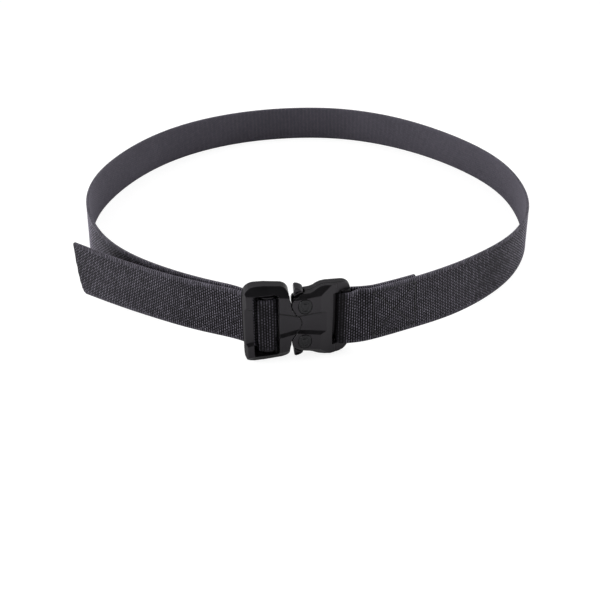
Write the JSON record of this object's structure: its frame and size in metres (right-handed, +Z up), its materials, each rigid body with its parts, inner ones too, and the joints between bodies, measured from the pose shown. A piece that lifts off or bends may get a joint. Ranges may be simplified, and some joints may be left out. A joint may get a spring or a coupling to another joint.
{
  "type": "tactical belt",
  "caption": "Black webbing waist belt standing as a fastened loop, with a two-lever quick-release plastic buckle, a friction adjuster and a free tail.",
  "frame": {"origin": "centre of the whole belt's footprint, on the surface it stands on", "axes": "+X to the wearer's side of the clip (the right of the buckle as seen from the front), +Y from the buckle to the back of the waist loop, +Z up, across the webbing"},
  "size_m": [0.378, 0.3884, 0.056],
  "materials": {
    "webbing": "coarse basket-ribbed black nylon webbing",
    "clip_plastic": "fine-grained satin black moulded plastic",
    "frame_plastic": "fine-grained satin black moulded plastic",
    "bar_plastic": "satin black moulded plastic",
    "lever_plastic": "satin black moulded plastic",
    "rivet": "blackened turned metal"
  },
  "bodies": {
    "belt": {"belt_webbing": "webbing", "clip_body": "clip_plastic", "clip_rivet_upper": "rivet", "clip_rivet_lower": "rivet", "adjuster_frame": "frame_plastic", "adjuster_bar": "bar_plastic"},
    "lever_upper": {"release_lever_upper": "lever_plastic"},
    "lever_lower": {"release_lever_lower": "lever_plastic"}
  },
  "joints": [
    {"name": "press_lever_upper", "type": "hinge", "parent": "belt", "child": "lever_upper", "pos_m": [-0.02789, -0.1883, 0.0413], "axis": [0, -1, 0], "range_deg": [0, 12], "stiffness_Nm_per_rad": 0.05},
    {"name": "press_lever_lower", "type": "hinge", "parent": "belt", "child": "lever_lower", "pos_m": [-0.02789, -0.1883, 0.0147], "axis": [0, 1, 0], "range_deg": [0, 12], "stiffness_Nm_per_rad": 0.05}
  ]
}
